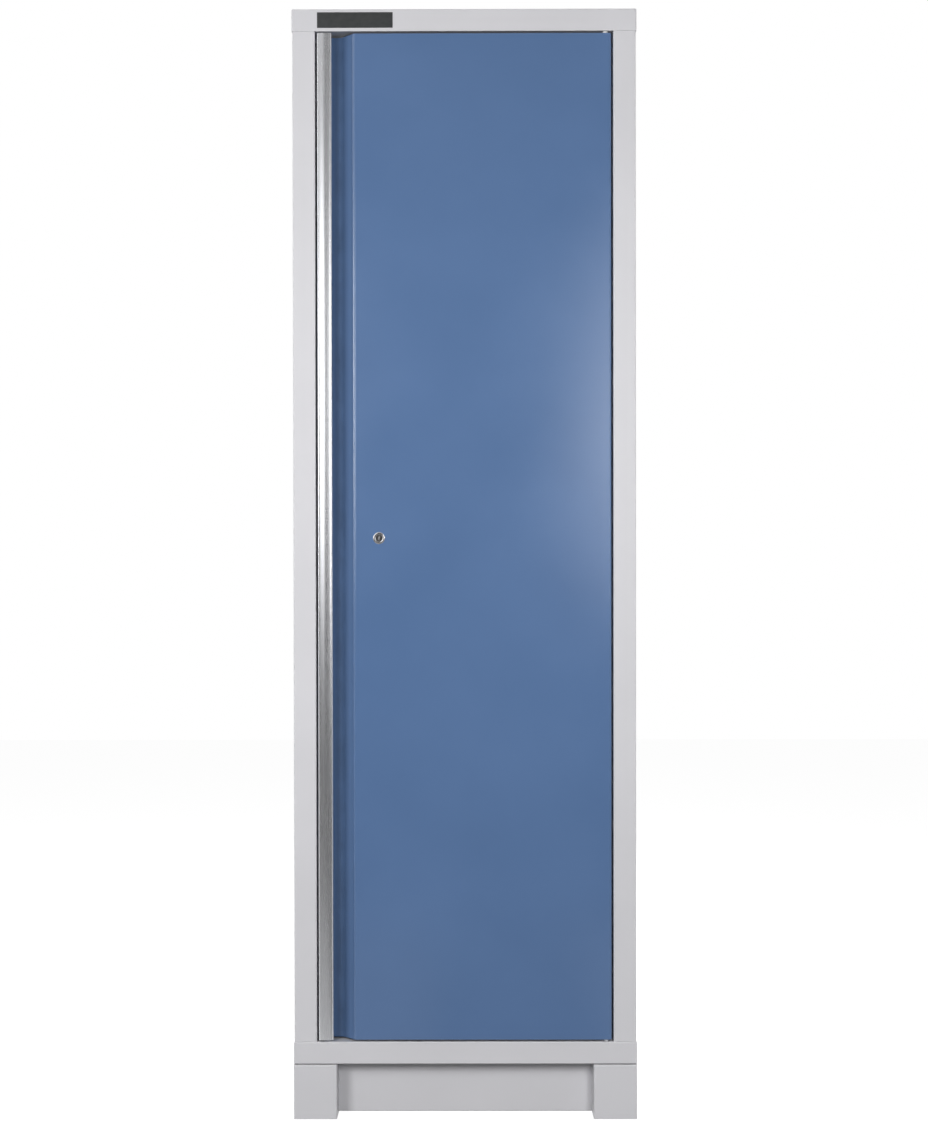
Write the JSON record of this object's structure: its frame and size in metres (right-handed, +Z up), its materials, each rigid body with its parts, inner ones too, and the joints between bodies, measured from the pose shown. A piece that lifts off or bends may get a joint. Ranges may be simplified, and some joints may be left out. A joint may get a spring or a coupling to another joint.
{
  "type": "workshop cabinet",
  "caption": "Tall steel workshop cabinet with an inset lockable door on pivot hinges, a full-height grip strip with a finger recess, adjustable shelves and a base with a toe space.",
  "frame": {"origin": "on the floor, at the middle of the cabinet's footprint", "axes": "+Z up, +Y from the door towards the back, +X to the right as seen from the front"},
  "size_m": [0.62, 0.463, 2],
  "materials": {
    "grey_coat": "light grey fine-grain powder coat",
    "blue_coat": "grey-blue fine-grain powder coat",
    "stainless": "polished stainless steel",
    "chrome": "bright nickel plate",
    "zinc": "bright zinc plate",
    "nylon": "natural nylon",
    "rubber": "black rubber",
    "catch_case": "black moulded plastic",
    "magnet": "dark sintered ferrite",
    "badge": "bare dark satin plate"
  },
  "bodies": {
    "cabinet": {"top_cap": "grey_coat", "bottom_tray": "grey_coat", "left_side_panel": "grey_coat", "right_side_panel": "grey_coat", "back_panel": "grey_coat", "left_foot": "grey_coat", "right_foot": "grey_coat", "kick_panel": "grey_coat", "base_left_rail": "grey_coat", "base_right_rail": "grey_coat", "base_rear_rail": "grey_coat", "left_front_upright": "grey_coat", "left_rear_upright": "grey_coat", "right_front_upright": "grey_coat", "right_rear_upright": "grey_coat", "shelf_1": "grey_coat", "shelf_2": "grey_coat", "shelf_3": "grey_coat", "shelf_4": "grey_coat", "base_bolts": "zinc", "base_nuts": "zinc", "back_rivets": "zinc", "shelf_clips_1": "zinc", "shelf_clips_2": "zinc", "shelf_clips_3": "zinc", "shelf_clips_4": "zinc", "lower_hinge_plate": "zinc", "lower_hinge_pin": "zinc", "lower_hinge_washer": "zinc", "upper_hinge_bush": "nylon", "door_buffers": "rubber", "catch_bodies": "catch_case", "catch_magnets": "magnet", "badge_plate": "badge"},
    "door": {"door_skin": "blue_coat", "door_stiffener": "blue_coat", "upper_door_bracket": "blue_coat", "lower_door_bracket": "blue_coat", "handle_strip": "stainless", "upper_hinge_pin": "zinc", "lower_hinge_bush": "nylon", "lock_housing": "chrome", "lock_nut": "zinc", "upper_rod_guides": "nylon", "lower_rod_guides": "nylon"},
    "lock_core": {"lock_plug": "chrome", "lock_cam": "zinc", "cam_screw": "zinc"},
    "upper_rod": {"upper_lock_rod": "zinc"},
    "lower_rod": {"lower_lock_rod": "zinc"}
  },
  "joints": [
    {"name": "door_swing", "type": "hinge", "parent": "cabinet", "child": "door", "pos_m": [0.2544, -0.222, 1.05], "axis": [0, 0, 1], "range_deg": [0, 110]},
    {"name": "lock_turn", "type": "hinge", "parent": "door", "child": "lock_core", "pos_m": [-0.1542, -0.22, 1.0496], "axis": [0, 1, 0], "range_deg": [0, 90]},
    {"name": "upper_rod_slide", "type": "slide", "parent": "door", "child": "upper_rod", "axis": [0, 0, 1], "range_m": [0, 0.02263]},
    {"name": "lower_rod_slide", "type": "slide", "parent": "door", "child": "lower_rod", "axis": [0, 0, -1], "range_m": [0, 0.02263]}
  ],
  "couplings": [
    {"joint": "lock_turn", "follows": "upper_rod_slide", "rad_per_m": 69.42},
    {"joint": "lower_rod_slide", "follows": "upper_rod_slide", "ratio": 1}
  ]
}
